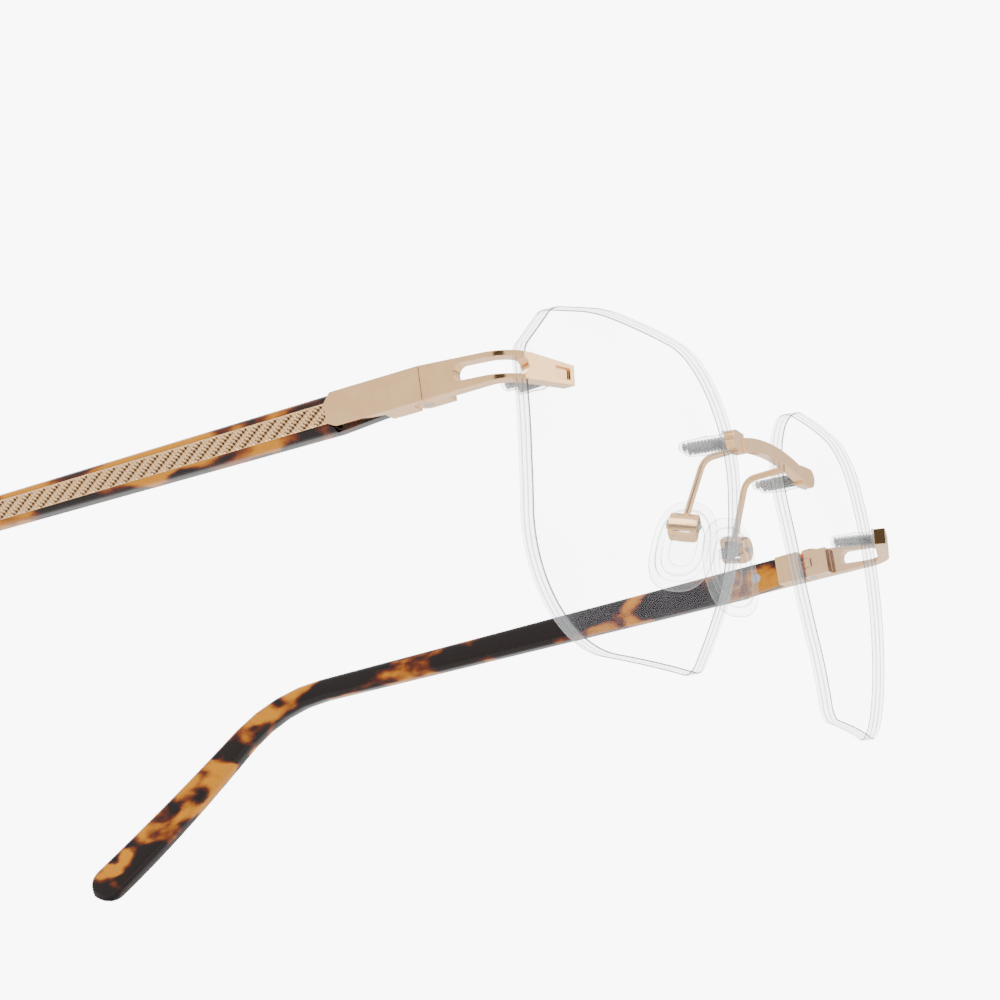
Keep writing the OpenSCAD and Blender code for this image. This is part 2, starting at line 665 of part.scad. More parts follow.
module temple_screw(side) {
    color(steel) stand(side) temple_frame() translate([acetate_in, screw_s, screw_z])
        rotate([0, 90, 0]) difference() {
            union() {
                cylinder(r = screw_head_r, h = screw_head_t);
                cylinder(r = screw_r, h = screw_end - acetate_in);
            }
            block([-knuckle_r, -driver_w / 2, -SKIN], [knuckle_r, driver_w / 2, screw_head_t / 2]);
        }
}

// ---- Nose pads and what carries them
function turned(p) = turn_z(turn_y(turn_x(p, pad_lean), -pad_frontal), -pad_splay);
arm_start_up = 0.5;      // of its start above the holes
arm_in = 0.1;            // of its end inside the middle of the box
arm_end = pad_at + turned([box_off - arm_in, 0, box_up + box_h / 2]);
arm_start = [arm_x, bar_back, bridge_at[2] + arm_start_up];
arm_bend = 1.6;
arm_before = arm_corner + unit(arm_start - arm_corner) * arm_bend;
arm_after = arm_corner + unit(arm_end - arm_corner) * arm_bend;
arm_steps = 6;
arm_side = unit(cross(arm_start - arm_corner, arm_end - arm_corner));
// A ring of the arm round p, square to the direction t
function arm_ring(p, t) = let (e = unit(arm_side - t * (arm_side * t)), g = cross(t, e))
    [for (a = [0:30:330]) p + arm_r * (cos(a) * e + sin(a) * g)];
arm_rings = concat([arm_ring(arm_start, [0, 1, 0])],
    [for (i = [0:arm_steps]) let (k = i / arm_steps)
        arm_ring(arm_before * (1 - k) * (1 - k) + arm_corner * 2 * k * (1 - k) + arm_after * k * k,
            unit((arm_corner - arm_before) * (1 - k) + (arm_after - arm_corner) * k))],
    [arm_ring(arm_end, turned([0, 0, -1]))]);
module box_blank() {
    intersection() {
        block([-box_d / 2, -box_w / 2, -box_h / 2], [box_d / 2, box_w / 2, box_h / 2]);
        translate([box_d / 2 - box_back_r, 0, 0]) bar_y(box_back_r, -box_w, box_w);
        rotate([0, 90, 0]) cylinder(r = box_side_r, h = 2 * box_d, center = true);
    }
}
module pad_arm(side) {
    color(gold) stand(side) skin(arm_rings);
}
module pad_box(side) {
    inner = box_w / 2 - cheek_t;
    color(gold) stand(side) box_frame() difference() {
        box_blank();
        block([-box_d, -inner, box_wall - box_h / 2], [box_d / 2 - box_wall, inner, box_h / 2 - box_wall]);
        bar_y(pad_pin_r + box_bore_gap, -box_w, box_w);
    }
}
module pad_screw(side) {
    color(steel) stand(side) box_frame() difference() {
        union() {
            bar_y(pad_pin_r, -box_w / 2 - pad_head_t, box_w / 2 + pad_head_t);
            bar_y(pad_head_r, box_w / 2, box_w / 2 + pad_head_t);
        }
        block([-box_d, box_w / 2 + pad_head_t / 2, -driver_w / 2], [box_d, box_w, driver_w / 2]);
    }
}
// The stiff core moulded into the pad, with the eye that the screw goes through
module core_shape() {
    eye_w = box_w / 2 - cheek_t - eye_gap;
    block([-pad_t / 4, -eye_w, box_up - eye_t / 2], [box_off, eye_w, box_up + eye_t / 2]);
    translate([box_off, 0, box_up]) bar_y(eye_r, -eye_w, eye_w);
}
module pad_core(side) {
    color(clear) stand(side) pad_frame() difference() {
        core_shape();
        translate([box_off, 0, box_up]) bar_y(pad_pin_r + pad_hinge_gap, -box_w, box_w);
    }
}
module nose_pad(side) {
    steps = 48;
    power = 2.5;
    oval = [for (i = [0:steps - 1]) let (a = 360 * i / steps, c = cos(a), s = sin(a))
        [sign(c) * pow(abs(c), 2 / power) * pad_w / 2, sign(s) * pow(abs(s), 2 / power) * pad_h / 2]];
    color(clear) stand(side) pad_frame() difference() {
        intersection() {
            rotate([0, 90, 0]) rotate([0, 0, 90]) translate([0, 0, -pad_t * 2])
                linear_extrude(pad_t * 6) polygon(oval);
            translate([pad_curve_r - pad_t / 2, 0, 0]) difference() {
                sphere(r = pad_curve_r);
                sphere(r = pad_curve_r - pad_t);
            }
        }
        core_shape();
    }
}

lens(RIGHT);  // lens_right
lens(LEFT);  // lens_left
bridge();
bridge_pins(RIGHT);  // bridge_pins_right
bridge_pins(LEFT);  // bridge_pins_left
bridge_plug(RIGHT);  // bridge_plug_right
bridge_plug(LEFT);  // bridge_plug_left
end_piece(RIGHT);  // end_piece_right
end_piece(LEFT);  // end_piece_left
end_pins(RIGHT);  // end_pins_right
end_pins(LEFT);  // end_pins_left
end_plug(RIGHT);  // end_plug_right
end_plug(LEFT);  // end_plug_left
hinge_screw(RIGHT);  // hinge_screw_right
hinge_screw(LEFT);  // hinge_screw_left
pad_arm(RIGHT);  // pad_arm_right
pad_arm(LEFT);  // pad_arm_left
pad_box(RIGHT);  // pad_box_right
pad_box(LEFT);  // pad_box_left
pad_screw(RIGHT);  // pad_screw_right
pad_screw(LEFT);  // pad_screw_left
pad_core(RIGHT);  // pad_core_right
pad_core(LEFT);  // pad_core_left
nose_pad(RIGHT);  // nose_pad_right
nose_pad(LEFT);  // nose_pad_left
temple_plate(RIGHT);  // temple_plate_right
temple_plate(LEFT);  // temple_plate_left
temple_collar(RIGHT);  // temple_collar_right
temple_collar(LEFT);  // temple_collar_left
temple_acetate(RIGHT);  // temple_acetate_right
temple_acetate(LEFT);  // temple_acetate_left
temple_inlay(RIGHT);  // temple_inlay_right
temple_inlay(LEFT);  // temple_inlay_left
temple_core(RIGHT);  // temple_core_right
temple_core(LEFT);  // temple_core_left
temple_screw(RIGHT);  // temple_screw_right
temple_screw(LEFT);  // temple_screw_left
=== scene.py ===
"""Looks for a pair of rimless eyeglasses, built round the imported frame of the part."""

import json
import math

import bpy
import numpy as np
from bpy.props import FloatProperty, FloatVectorProperty, IntProperty, PointerProperty
from mathutils import Matrix, Vector


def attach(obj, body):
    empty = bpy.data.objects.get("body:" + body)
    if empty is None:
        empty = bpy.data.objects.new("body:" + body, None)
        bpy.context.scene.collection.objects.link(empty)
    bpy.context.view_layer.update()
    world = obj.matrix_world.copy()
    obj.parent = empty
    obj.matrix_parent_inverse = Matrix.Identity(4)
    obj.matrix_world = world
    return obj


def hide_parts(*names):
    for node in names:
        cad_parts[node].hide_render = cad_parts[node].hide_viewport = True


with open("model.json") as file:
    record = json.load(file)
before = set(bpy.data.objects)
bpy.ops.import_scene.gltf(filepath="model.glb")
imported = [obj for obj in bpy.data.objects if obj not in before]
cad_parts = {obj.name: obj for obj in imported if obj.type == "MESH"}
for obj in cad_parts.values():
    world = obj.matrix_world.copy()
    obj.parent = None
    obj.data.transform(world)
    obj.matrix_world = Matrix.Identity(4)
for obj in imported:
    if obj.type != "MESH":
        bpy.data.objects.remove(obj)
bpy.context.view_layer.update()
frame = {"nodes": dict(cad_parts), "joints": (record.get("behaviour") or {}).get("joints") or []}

bl_info = {
    "name": "Rimless eyeglasses",
    "version": (1, 0, 0),
    "blender": (4, 5, 0),
    "location": "View3D > Sidebar > Eyeglasses",
    "description": "Builds the surfaces and finishes of a pair of rimless eyeglasses",
    "category": "Object",
}

MM = 0.001
LEFT, RIGHT = 1, -1
SIDES = {LEFT: "left", RIGHT: "right"}
JOINTS = {joint["name"]: joint for joint in frame["joints"]}
HINGE = Vector(JOINTS["fold_left"]["pos_m"])
HINGE_UP = Vector(JOINTS["fold_left"]["axis"])


# ---- Sizes and colours that a user would change


def length(name, about, mm):
    """A length property, with its default given in millimetres."""
    return FloatProperty(name=name, description=about, default=mm * MM, unit="LENGTH", precision=5)


def angle(name, about, degrees):
    """An angle property, with its default given in degrees."""
    return FloatProperty(name=name, description=about, default=math.radians(degrees), subtype="ANGLE")


def colour(name, about, value):
    """A colour property."""
    return FloatVectorProperty(
        name=name, description=about, default=value, size=3, min=0, max=1, subtype="COLOR"
    )


class EyeglassSizes(bpy.types.PropertyGroup):
    """Where the pieces are, and how large, on the wearer's left side as worn."""

    tilt: angle("Standing tilt", "Turn from worn to standing on lenses and temple tips", 3.37841)
    drop: angle("Temple drop", "Angle of the temples down from square to the lenses", 5.1)
    splay: angle("Temple splay", "Angle of the temples out from square to the lenses", 0.9)
    lens_w: length("Lens width", "Width of one lens", 55.8)
    lens_h: length("Lens height", "Height of one lens", 47.6)
    lens_t: length("Lens thickness", "Thickness of a lens", 2)
    lens_r: length("Lens radius", "Radius of the front surface of a lens", 130)
    lens_x: length("Lens middle", "Distance of a lens's middle from the bridge's middle", 36.7867)
    wrap: angle("Lens wrap", "Angle by which a lens is wrapped back", 6.4)
    hole_r: length("Hole radius", "Radius of a drilled hole", 1)
    hole_pitch: length("Hole pitch", "Distance between two holes of a pair", 2.5)
    pin_r: length("Pin radius", "Radius of a mounting pin over its ribs", 0.6)
    pin_back: length("Pin length", "How far a pin reaches behind the front of the lens", 6.1)
    rib: length("Rib pitch", "Distance between ribs on a pin", 0.5)
    arm_r: length("Pad arm radius", "Radius of a nose pad's wire arm", 0.5)
    pad_w: length("Pad width", "Width of a nose pad", 9.4)
    pad_h: length("Pad height", "Height of a nose pad", 15.2)
    pad_t: length("Pad thickness", "Thickness of a nose pad", 1.4)
    pad_r: length("Pad curve", "Radius to which a pad is hollowed", 24)
    inlay_h: length("Inlay height", "Height of the metal inlay", 2.8)
    inlay_from: length("Inlay start", "Distance of the inlay's front end behind the hinge", 13.85)
    inlay_to: length("Inlay end", "Distance of the inlay's rear end behind the hinge", 94)
    inlay_z: length("Inlay level", "Height of the inlay's middle above the plate's", -0.25)
    inlay_out: length("Inlay face", "Distance of the inlay's face outside the hinge axis", 2.15)
    strand: length("Strand pitch", "Length of inlay that one strand of the rope takes", 2.3)


class EyeglassColours(bpy.types.PropertyGroup):
    """The finishes of the pieces."""

    gold: colour("Gold", "Plated metal where it is brightest", (0.94, 0.58, 0.29))
    gold_deep: colour("Deep gold", "Plated metal in its warmer patches", (0.90, 0.53, 0.25))
    steel: colour("Steel", "Pins and screws", (0.55, 0.54, 0.52))
    clear: colour("Clear plastic", "Sleeves of the pins", (0.80, 0.82, 0.83))
    pad: colour("Pads", "Nose pads", (0.80, 0.82, 0.80))
    # The painted shade of clear plastic seen edge on and on the pads' stored lines.
    outline: colour("Plastic rims", "Clear plastic seen edge on", (0.07, 0.073, 0.073))
    lens: colour("Lens", "Faces of the lenses", (0.60, 0.60, 0.68))
    # Painted shade: the dark lines in the ground edge of a lens and next to its faces.
    edge: colour("Lens edge", "Dark lines in the ground edge of the lenses", (0.10, 0.11, 0.115))
    ground: colour("Ground glass", "The ground edge between its dark lines", (0.62, 0.65, 0.66))
    amber: colour("Amber", "Light patches of the acetate", (0.54, 0.20, 0.0))
    brown: colour("Red-brown", "Middle tone of the acetate", (0.16, 0.018, 0.0))
    dark: colour("Dark brown", "Dark patches of the acetate", (0.006, 0.002, 0.001))
    floor: colour("Floor", "The floor under the object", (0.86, 0.86, 0.86))
    grain: IntProperty(name="Grain", description="Fine lines per millimetre of metal", default=9)


# ---- Shader values as Python expressions


class Value:
    """A shader socket that adds Math nodes when it is used in an expression."""

    def __init__(self, paint, socket):
        self.paint, self.socket = paint, socket

    def math(self, operation, *values):
        """A Math node's result for this value and the others."""
        return self.paint.math(operation, self, *values)

    def __add__(self, other):
        return self.paint.math("ADD", self, other)

    def __radd__(self, other):
        return self.paint.math("ADD", other, self)

    def __sub__(self, other):
        return self.paint.math("SUBTRACT", self, other)

    def __rsub__(self, other):
        return self.paint.math("SUBTRACT", other, self)

    def __mul__(self, other):
        return self.paint.math("MULTIPLY", self, other)

    def __rmul__(self, other):
        return self.paint.math("MULTIPLY", other, self)

    def wave(self, operation):
        """A sine or cosine of the value, moved to run from 0 to 1."""
        return self.math(operation) * 0.5 + 0.5

    def capped(self):
        """The value, but never more than 1."""
        return self.math("MINIMUM", 1.0)


class Paint:
    """A material under construction: every node comes from node()."""

    def __init__(self, name, **constants):
        self.material = bpy.data.materials.new(name)
        self.material.use_nodes = True
        self.tree = self.material.node_tree
        self.tree.nodes.clear()
        self.shader = self.tree.nodes.new("ShaderNodeBsdfPrincipled")
        self.output = self.tree.nodes.new("ShaderNodeOutputMaterial")
        self.tree.links.new(self.shader.outputs[0], self.output.inputs["Surface"])
        self.set(self.shader, {key.replace("_", " "): value for key, value in constants.items()})

    def set(self, node, inputs):
        """Links each value to its socket, or stores it there if it is a constant."""
        for key, value in inputs.items():
            if isinstance(value, Value):
                self.tree.links.new(value.socket, node.inputs[key])
            elif hasattr(value, "__len__"):
                size = len(node.inputs[key].default_value)
                node.inputs[key].default_value = (*value, 1)[:size]
            else:
                node.inputs[key].default_value = value

    def node(self, kind, inputs=None, out=0, **settings):
        """One output of a new node, with its settings made before its sockets."""
        node = self.tree.nodes.new("ShaderNode" + kind)
        for key, value in settings.items():
            setattr(node, key, value)
        self.set(node, inputs or {})
        return Value(self, node.outputs[out])

    def math(self, operation, *values):
        return self.node("Math", dict(enumerate(values)), operation=operation)

    def vector(self, operation, *values):
        return self.node("VectorMath", dict(enumerate(values)), operation=operation)

    def mix(self, factor, a, b):
        """Colour a where the factor is 0, and b where it is 1."""
        return self.node("Mix", {0: factor, 6: a, 7: b}, 2, data_type="RGBA", clamp_factor=True)

    def ease(self, value, low, high):
        """0 below the low value and 1 above the high one, with a smooth step between."""
        inputs = {"Value": value, "From Min": low, "From Max": high}
        return self.node("MapRange", inputs, interpolation_type="SMOOTHSTEP")

    def place(self, scale=(1, 1, 1)):
        """Position on the object in millimetres, stretched by a scale."""
        at = self.node("TexCoord", out=3)
        return self.vector("MULTIPLY", at, tuple(s / MM for s in scale))

    def noise(self, at, scale, detail, distortion=0.0):
        """Noise with a scale in features per millimetre."""
        inputs = {"Vector": at, "Scale": scale, "Detail": detail, "Distortion": distortion}
        return self.node("TexNoise", inputs)

    def part(self, at, axis):
        return self.node("SeparateXYZ", {0: at}, "XYZ".index(axis))

    def finish(self, **inputs):
        """The material, with the given inputs of its shader."""
        self.set(self.shader, {key.replace("_", " "): value for key, value in inputs.items()})
        return self.material

    def bump(self, height, strength, distance, normal=None):
        """A normal for a relief whose full height is a distance in metres."""
        inputs = {"Height": height, "Strength": strength, "Distance": distance}
        if normal:
            inputs["Normal"] = normal
        return self.node("Bump", inputs)


# Heights of the reliefs.
FINE_RELIEF, MOULD_RELIEF, BEAD_RELIEF = 0.02 * MM, 0.08 * MM, 0.10 * MM
# The beads of a strand: their pitch in millimetres, and the way they follow each other.
BEAD_PITCH, BEAD_RISE, BEAD_RUN = 0.5, 0.62, 0.79
# How many painted dark lines run along the ground edge of a lens.
EDGE_LINES = 3
# How opaque clear plastic gets under its full painted edge shade.
RIM_ALPHA = 0.95
# Where the acetate gets lighter and darker again, in millimetres behind the hinge.
ACETATE_FRONT, ACETATE_EAR = (6.0, 26.0), (96.0, 118.0)


def soft_edges(paint, radius):
    """A normal that rounds the sharp edges of a piece."""
    return paint.node("Bevel", {"Radius": radius}, samples=6)


def darker(tint, share):
    """A colour with each part of it brought down to a share."""
    return tuple(share * part for part in tint)


def gold_finish(name, colours, grain):
    """Polished plating with fine lines, handling marks and softened edges."""
    paint = Paint(name, Metallic=1.0)
    at = paint.place()
    cloud = paint.noise(at, 0.35, 4)
    marks = paint.noise(paint.place((0.4, 1, 3)), 1.2, 6)
    lines = paint.noise(paint.place((0.15, grain, grain)), 1.0, 2)
    shade = paint.ease(cloud, 0.35, 0.7)
    edges = soft_edges(paint, 0.16 * MM)
    return paint.finish(
        Base_Color=paint.mix(shade, colours.gold, colours.gold_deep),
        Roughness=0.09 + 0.05 * paint.ease(marks, 0.45, 0.75) + 0.02 * cloud,
        Normal=paint.bump(lines * 0.6 + marks * 0.4, 0.02, FINE_RELIEF, edges),
    )


def rope_finish(colours):
    """The twisted inlay: beads along every strand, and painted shade as dark dashes in the grooves
    and creases between the strands.
    """
    paint = Paint("rope_gold", Metallic=1.0)
    run = paint.node("UVMap")
    along, rise = paint.part(run, "X"), paint.part(run, "Y")
    bead = ((rise * BEAD_RISE - along * BEAD_RUN) * (math.tau / BEAD_PITCH)).wave("SINE")
    depth = paint.node("Attribute", out=2, attribute_name="depth")
    worn = paint.noise(paint.place(), 0.8, 4)
    # Painted shade: near-black in the grooves and the skirt by the stored depth, and in the creases
    # of the beads.
    groove_shade = paint.ease(depth, 0.30, 0.80)
    crease_shade = paint.ease(bead, 0.5, 0.95) * paint.ease(depth, 0.0, 0.25)
    shade = (groove_shade * (0.5 + 0.5 * bead) + 0.7 * crease_shade).capped()
    return paint.finish(
        Base_Color=paint.mix(shade, colours.gold, darker(colours.gold_deep, 0.07)),
        Roughness=0.16 + 0.10 * worn + 0.2 * shade,
        Normal=paint.bump(bead, 0.5, -BEAD_RELIEF),
    )


def steel_finish(colours):
    """Plain steel with lathe marks and a little tarnish."""
    paint = Paint("steel", Metallic=1.0)
    at = paint.place()
    tarnish = paint.noise(at, 1.3, 5)
    turned = paint.noise(paint.place((8, 1, 8)), 1.5, 2)
    dull = paint.ease(tarnish, 0.4, 0.75)
    return paint.finish(
        Base_Color=paint.mix(dull, colours.steel, darker(colours.steel, 0.4)),
        Roughness=0.24 + 0.2 * tarnish,
        Normal=paint.bump(turned, 0.08, FINE_RELIEF, soft_edges(paint, 0.05 * MM)),
    )


def clear_finish(name, tint, outline, alpha, frost):
    """Clear moulded plastic: faint face on, with painted grey shade where it is seen edge on and
    along its stored lines.
    """
    paint = Paint(name, IOR=1.5)
    at = paint.place()
    cloud = paint.noise(at, 0.6, 4)
    ripple = paint.noise(paint.place((1, 2.4, 1)), 1.1, 3)
    # Painted shade: the plastic turns to the dark rim colour where it is seen edge on and along its
    # stored lines, in place of the light its edges bend away.
    turned = paint.node("LayerWeight", {"Blend": 0.35}, out=1)
    line = paint.node("Attribute", out=2, attribute_name="line")
    rim = (paint.ease(turned, 0.30, 0.80) + line).capped()
    return paint.finish(
        Base_Color=paint.mix(rim, paint.mix(cloud, tint, darker(tint, 0.8)), outline),
        Roughness=frost + 0.08 * cloud,
        Alpha=alpha + 0.06 * paint.ease(cloud, 0.3, 0.75) + (RIM_ALPHA - alpha) * rim,
        Normal=paint.bump(ripple, 0.12, MOULD_RELIEF),
    )


def lens_finish(colours):
    """The faces of a lens: almost nothing but their polish and a few specks."""
    paint = Paint("lens_face", IOR=1.6, Specular_IOR_Level=0.9)
    at = paint.place()
    specks = paint.noise(at, 4.0, 2)
    haze = paint.ease(paint.noise(at, 0.05, 2), 0.45, 0.7)
    return paint.finish(
        Base_Color=paint.mix(haze, colours.lens, darker(colours.lens, 0.8)),
        Roughness=0.02 + 0.05 * paint.ease(specks, 0.7, 0.8),
        Alpha=0.03 + 0.06 * haze + 0.05 * paint.ease(specks, 0.74, 0.8),
    )


def edge_finish(colours):
    """The ground edge of a lens: painted dark lines that stand in for reflections inside the glass
    run along it between pale ones, with painted shade next to the faces.
    """
    paint = Paint("lens_edge", IOR=1.6)
    depth = paint.node("Attribute", out=2, attribute_name="depth")
    # Painted shade: dark lines along the edge and dark bands next to the faces, in place of the light
    # bent inside the glass.
    lines = (depth * (EDGE_LINES * math.tau)).wave("COSINE")
    grind = paint.noise(paint.place(), 2.0, 4)
    rim = 1 - paint.ease(depth.math("PINGPONG", 0.5), 0.0, 0.12)
    edge_shade = (paint.ease(lines, 0.55, 1.0) * (0.4 + 0.5 * grind) + 0.6 * rim).capped()
    return paint.finish(
        Base_Color=paint.mix(edge_shade, colours.ground, colours.edge),
        Roughness=0.12 + 0.2 * grind,
        Alpha=0.36 + 0.61 * edge_shade,
        Normal=paint.bump(grind, 0.1, FINE_RELIEF),
    )


def acetate_finish(colours):
    """Tortoiseshell acetate: amber with large soft patches of red-brown and near-black."""
    paint = Paint("tortoise_acetate", IOR=1.49, Specular_IOR_Level=0.3)
    at = paint.place()
    run = paint.part(at, "Y") - HINGE.y / MM
    broad = paint.noise(paint.place((1, 0.55, 1)), 0.13, 2, 0.5)
    fine = paint.noise(paint.place((1, 0.5, 1)), 0.40, 3, 0.4)
    speck = paint.noise(at, 2.6, 2)
    front = 1 - paint.ease(run, *ACETATE_FRONT)
    ear = paint.ease(run, *ACETATE_EAR)
    patch = broad + 0.22 * (fine - 0.5) + 0.08 * front + 0.10 * ear - 0.02
    warm = paint.mix(paint.ease(patch, 0.43, 0.53), colours.amber, colours.brown)
    return paint.finish(
        Base_Color=paint.mix(paint.ease(patch, 0.48, 0.56), warm, colours.dark),
        Roughness=0.10 + 0.08 * speck,
        Normal=paint.bump(speck, 0.03, FINE_RELIEF, soft_edges(paint, 0.1 * MM)),
    )


def floor_finish(colours):
    """A pale floor that shows from above and lets the view from below through."""
    paint = Paint("pale_floor", Specular_IOR_Level=0.2)
    fibre = paint.noise(paint.place(), 0.4, 4)
    paint.finish(
        Base_Color=paint.mix(fibre, colours.floor, darker(colours.floor, 0.96)),
        Roughness=0.6 + 0.2 * fibre,
    )
    surface = Value(paint, paint.shader.outputs[0])
    clear = paint.node("BsdfTransparent")
    underside = paint.node("NewGeometry", out=6)
    both = paint.node("MixShader", {0: underside, 1: surface, 2: clear})
    paint.set(paint.output, {"Surface": both})
    return paint.material


# ---- Where things are


def turn(radians, axis):
    """A rotation matrix about a named axis."""
    return Matrix.Rotation(radians, 4, axis)


def shift(x, y, z):
    """A translation matrix, in metres."""
    return Matrix.Translation((x, y, z))


def mirrored(side, local):
    """A frame on the wearer's left as it is, or its mirror image on the right."""
    return Matrix.Diagonal((side, 1, 1, 1)) @ local


class Layout:
    """The local frames of the pieces on the wearer's left, mirrored for the right.

    Places are on the glasses as worn, where the front middle of the left lens is at
    (lens_x, 0, 0) and Y runs back. ARM_TOP is measured from the nose pad in its own frame.
    """

    HINGE_WORN = Vector((66.7752, 18.6726, 10.15)) * MM
    HINGE_ERROR = math.radians(0.2)
    MOUNT_Z = 11.0 * MM
    BRIDGE_U, END_U = -23.3 * MM, 23.0 * MM
    BAR_BACK = -0.63429
    PAD_AT = Vector((8.1, BAR_BACK + 10.6, -2.2)) * MM
    PAD_SPLAY, PAD_FRONTAL, PAD_LEAN = (math.radians(a) for a in (18.0, 21.0, 12.0))
    ARM_START = Vector((7.8, BAR_BACK, 11.5)) * MM
    ARM_CORNER = Vector((7.8, BAR_BACK + 6.5, 10.8)) * MM
    ARM_TOP = Vector((2.8, 0.0, 4.3)) * MM
    ARM_BEND = 1.6 * MM

    def __init__(self, sizes):
        self.p = sizes
        tip = turn(sizes.tilt, "X")
        self.stand = Matrix.Translation(HINGE - tip @ self.HINGE_WORN) @ tip
        at_hinge = Matrix.Translation(HINGE)
        self.hinge = at_hinge @ tip @ turn(-sizes.splay, "Z") @ turn(-sizes.drop, "X")
        off = (self.hinge.to_3x3() @ Vector((0, 0, 1))).angle(HINGE_UP)
        if off > self.HINGE_ERROR:
            raise RuntimeError(f"the temple is {math.degrees(off):.2f} degrees off the hinge axis")

    def sag(self, u, v, radius=None):
        """Depth behind the front middle of the lens of its front, or of a face of another radius."""
        r = radius or self.p.lens_r
        return self.p.lens_r - np.sqrt(r * r - u * u - v * v)

    def lens(self, side):
        """The frame of a lens, at the middle of its front."""
        return mirrored(side, self.stand @ shift(self.p.lens_x, 0, 0) @ turn(self.p.wrap, "Z"))

    def mount(self, side, u):
        """The frame of a pair of holes: its Y axis runs back through the lens."""
        y = float(self.sag(u, self.MOUNT_Z))
        local = shift(self.p.lens_x, 0, 0) @ turn(self.p.wrap, "Z") @ shift(u, y, self.MOUNT_Z)
        return mirrored(side, self.stand @ local @ turn(math.asin(u / self.p.lens_r), "Z"))

    def pad_turn(self):
        """How a nose pad is turned on the glasses as worn."""
        return turn(-self.PAD_SPLAY, "Z") @ turn(-self.PAD_FRONTAL, "Y") @ turn(self.PAD_LEAN, "X")

    def pad(self, side):
        """The frame of a nose pad: its X axis points at its box."""
        return mirrored(side, self.stand @ Matrix.Translation(self.PAD_AT) @ self.pad_turn())

    def temple(self, side):
        """The frame of a temple: its Y axis runs back from the hinge."""
        return mirrored(side, self.hinge)


# ---- Meshes


FACET_WELD = 0.002 * MM
FACET_ANGLE = math.radians(30)


def build(name, points, faces, matrix, material, body, slot, sharp, node):
    """A smooth-shaded piece that rides a body, has a material slot and stands for a CAD piece."""
    mesh = bpy.data.meshes.new(name)
    if matrix.determinant() < 0:
        faces = [tuple(reversed(f)) for f in faces]
    mesh.from_pydata([matrix @ Vector(p) for p in points], [], faces)
    mesh.validate()
    mesh.shade_smooth()
    mesh.set_sharp_from_angle(angle=math.radians(sharp))
    mesh.materials.append(material)
    piece = bpy.data.objects.new(name, mesh)
    bpy.context.scene.collection.objects.link(piece)
    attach(piece, body)
    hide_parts(node)
    return piece


def smooth_shading():
    """A node group that leaves out stored normals and shades every face smooth."""
    group = bpy.data.node_groups.get("smooth_shading")
    if group:
        return group
    group = bpy.data.node_groups.new("smooth_shading", "GeometryNodeTree")
    for way in ("INPUT", "OUTPUT"):
        group.interface.new_socket("Geometry", in_out=way, socket_type="NodeSocketGeometry")
    start = group.nodes.new("NodeGroupInput")
    plain = group.nodes.new("GeometryNodeRemoveAttribute")
    plain.inputs["Name"].default_value = "custom_normal"
    smooth = group.nodes.new("GeometryNodeSetShadeSmooth")
    end = group.nodes.new("NodeGroupOutput")
    for first, second in ((start, plain), (plain, smooth), (smooth, end)):
        group.links.new(first.outputs[0], second.inputs[0])
    return group


def dress(node, material):
    """Gives a CAD piece its finish, with smooth shading between its flat facets.

    The CAD mesh itself stays as it is: the shading is made by modifiers.
    """
    piece = frame["nodes"][node]
    if not piece.material_slots:
        raise RuntimeError(f"{node} has no material slot")
    for place in piece.material_slots:
        place.material = material
    shading = piece.modifiers.new("shading", "NODES")
    shading.node_group = smooth_shading()
    weld = piece.modifiers.new("weld", "WELD")
    weld.merge_threshold = FACET_WELD
    split = piece.modifiers.new("edges", "EDGE_SPLIT")
    split.split_angle = FACET_ANGLE
    split.use_edge_sharp = False


def rings_to_mesh(rings):
    """Points and faces of a skin over rings of equal length, with its ends closed."""
    n = len(rings[0])
    points = [p for ring in rings for p in ring]
    faces = []
    for j in range(len(rings) - 1):
        a, b = j * n, (j + 1) * n
        faces += [(a + i, a + (i + 1) % n, b + (i + 1) % n, b + i) for i in range(n)]
    faces.append(tuple(range(n - 1, -1, -1)))
    faces.append(tuple(range(len(points) - n, len(points))))
    return points, faces


def lathe(profile, spot, sides=24):
    """Rings of a turned shape, from its profile of (distance along Y, radius)."""
    angles = np.linspace(0, -math.tau, sides, endpoint=False)
    return [
        [tuple(spot @ Vector((r * math.cos(a), y, r * math.sin(a)))) for a in angles]
        for y, r in profile
    ]


def rounded(corners, steps):
    """A polygon with each corner rounded to its own radius."""
    flat = [Vector(c[:2]) for c in corners]
    line = []
    for i, (x, y, r) in enumerate(corners):
        p = Vector((x, y))
        u, w = (flat[i - 1] - p).normalized(), (flat[(i + 1) % len(flat)] - p).normalized()
        half = u.angle(w) / 2
        middle = p + (u + w).normalized() * r / math.sin(half)
        start = p + u * r / math.tan(half) - middle
        way = math.copysign(1, u.x * w.y - u.y * w.x)
        for k in range(steps + 1):
            a = -way * (math.pi - 2 * half) * k / steps
            line.append(middle + Matrix.Rotation(a, 2) @ start)
    return line


def even(line, count):
    """The same closed line with evenly spaced points."""
    points = np.array([tuple(p) for p in line] + [tuple(line[0])])
    run = np.concatenate([[0], np.cumsum(np.linalg.norm(np.diff(points, axis=0), axis=1))])
    at = np.linspace(0, run[-1], count, endpoint=False)
    return np.stack([np.interp(at, run, points[:, k]) for k in range(2)], axis=1)


def with_attribute(piece, name, values):
    """Stores a number at each point of a piece."""
    layer = piece.data.attributes.new(name, "FLOAT", "POINT")
    layer.data.foreach_set("value", np.asarray(values, np.float32))


# Corners of a lens's outline, each as (share of half the width, share of half the height, radius).
LENS_CORNERS = [
    (0.985, -0.02, 60), (0.962, 0.60, 4), (0.71, 0.895, 5), (0.27, 0.995, 40),
    (-1.155, 0.99, 14.5), (-0.86, -0.29, 45), (-0.43, -1.0, 4.5), (0.985, -1.0, 17),
]
OUTLINE_POINTS, CORNER_STEPS = 300, 40
